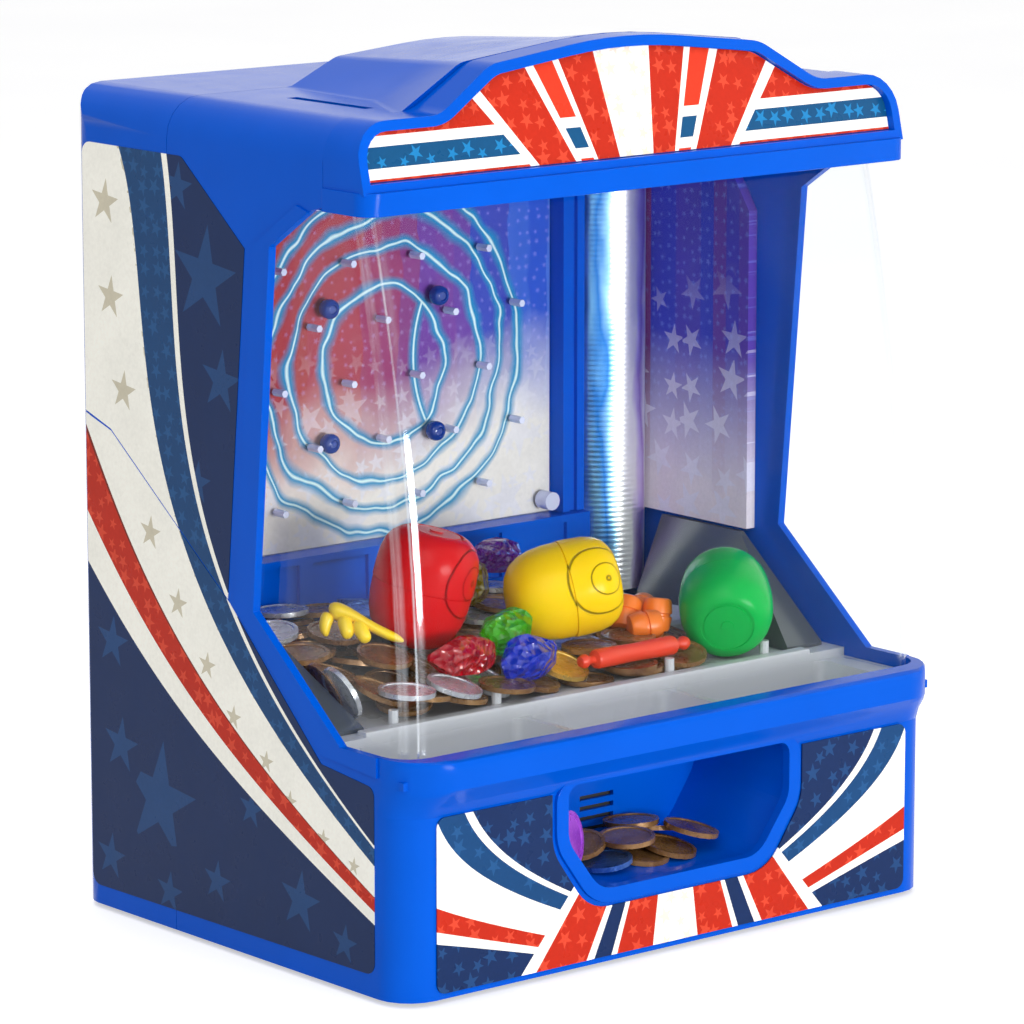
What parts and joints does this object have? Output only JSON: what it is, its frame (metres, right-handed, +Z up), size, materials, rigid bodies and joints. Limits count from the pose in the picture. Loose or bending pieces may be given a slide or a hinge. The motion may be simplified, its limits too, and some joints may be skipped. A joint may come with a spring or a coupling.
{
  "type": "coin pusher machine",
  "caption": "Table-top coin pusher arcade cabinet with a clear front cover, moving pusher, token troughs, prize window and rear door.",
  "frame": {"origin": "bottom centre of the whole machine, on the surface it stands on", "axes": "+Z up, -Y out of the front, +X to the right seen from the front"},
  "size_m": [0.282, 0.221, 0.362],
  "materials": {
    "blue_abs": "glossy moulded",
    "silver_abs": "satin",
    "clear_plastic": "clear, polished",
    "printed_film": "printed, semi-gloss",
    "printed_card": "printed, gloss laminate",
    "rainbow_foil": "ribbed holographic foil",
    "black_abs": "matt",
    "black_rubber": "matt",
    "white_nylon": "satin",
    "plated_steel": "bright plated",
    "circuit_board": "solder mask",
    "bronze_token": "metallised, semi-gloss",
    "red_plastic": "gloss",
    "yellow_plastic": "gloss",
    "green_plastic": "gloss",
    "orange_plastic": "gloss",
    "amber_crystal": "clear tinted",
    "green_crystal": "clear tinted",
    "red_crystal": "clear tinted",
    "blue_crystal": "clear tinted"
  },
  "bodies": {
    "cabinet": {"amber_crystal": "amber_crystal", "base_plate": "blue_abs", "base_screw_1": "plated_steel", "base_screw_2": "plated_steel", "battery_box": "black_abs", "battery_door": "blue_abs", "blue_crystal": "blue_crystal", "ceiling_panel": "blue_abs", "cell_1": "plated_steel", "cell_2": "plated_steel", "cell_3": "plated_steel", "circuit_board": "circuit_board", "clear_cover": "clear_plastic", "coin_chute": "blue_abs", "crank_axle": "plated_steel", "drive_chassis": "black_abs", "foil_column": "rainbow_foil", "foot_1": "black_rubber", "foot_2": "black_rubber", "foot_3": "black_rubber", "foot_4": "black_rubber", "front_label": "printed_film", "front_shell": "blue_abs", "green_capsule": "green_plastic", "green_crystal": "green_crystal", "header_hood": "blue_abs", "header_label": "printed_film", "idler_axle": "plated_steel", "left_label_lower": "printed_film", "left_label_upper": "printed_film", "left_wall_panel": "printed_card", "left_wing": "silver_abs", "motor": "plated_steel", "orange_stick": "orange_plastic", "pin_plate": "clear_plastic", "pinboard": "blue_abs", "pinboard_print": "printed_card", "pinboard_sill": "blue_abs", "play_tray": "silver_abs", "playfield_tokens": "bronze_token", "prize_tray": "blue_abs", "prize_tray_tokens": "bronze_token", "rear_door_pin": "plated_steel", "rear_shell": "blue_abs", "red_capsule": "red_plastic", "red_crystal": "red_crystal", "right_label_lower": "printed_film", "right_label_upper": "printed_film", "right_wall_panel": "printed_card", "right_wing": "silver_abs", "speaker": "black_abs", "switch_body": "black_abs", "yellow_capsule": "yellow_plastic", "yellow_toy": "yellow_plastic"},
    "pusher": {"pusher": "silver_abs"},
    "crank": {"crank_wheel": "white_nylon"},
    "idler": {"idler_gear": "white_nylon"},
    "pinion": {"motor_pinion": "white_nylon"},
    "rear_door": {"rear_door": "blue_abs"},
    "switch_knob": {"switch_knob": "black_abs"}
  },
  "joints": [
    {"name": "pusher_slide", "type": "slide", "parent": "cabinet", "child": "pusher", "axis": [0, 1, 0], "range_m": [0, 0.025]},
    {"name": "crank_spin", "type": "hinge", "parent": "cabinet", "child": "crank", "pos_m": [0, 0.0485, 0.066], "axis": [0, 0, 1], "continuous": true},
    {"name": "idler_spin", "type": "hinge", "parent": "cabinet", "child": "idler", "pos_m": [0.0401, 0.0485, 0.066], "axis": [0, 0, 1], "continuous": true},
    {"name": "pinion_spin", "type": "hinge", "parent": "cabinet", "child": "pinion", "pos_m": [0.0602, 0.0485, 0.066], "axis": [0, 0, 1], "continuous": true},
    {"name": "rear_door_hinge", "type": "hinge", "parent": "cabinet", "child": "rear_door", "pos_m": [0, 0.106, 0.0228], "axis": [-1, 0, 0], "range_deg": [0, 90]},
    {"name": "switch_slide", "type": "slide", "parent": "cabinet", "child": "switch_knob", "axis": [1, 0, 0], "range_m": [0, 0.005]}
  ],
  "couplings": [
    {"joint": "idler_spin", "follows": "crank_spin", "ratio": -1.6667},
    {"joint": "pinion_spin", "follows": "crank_spin", "ratio": 5}
  ]
}
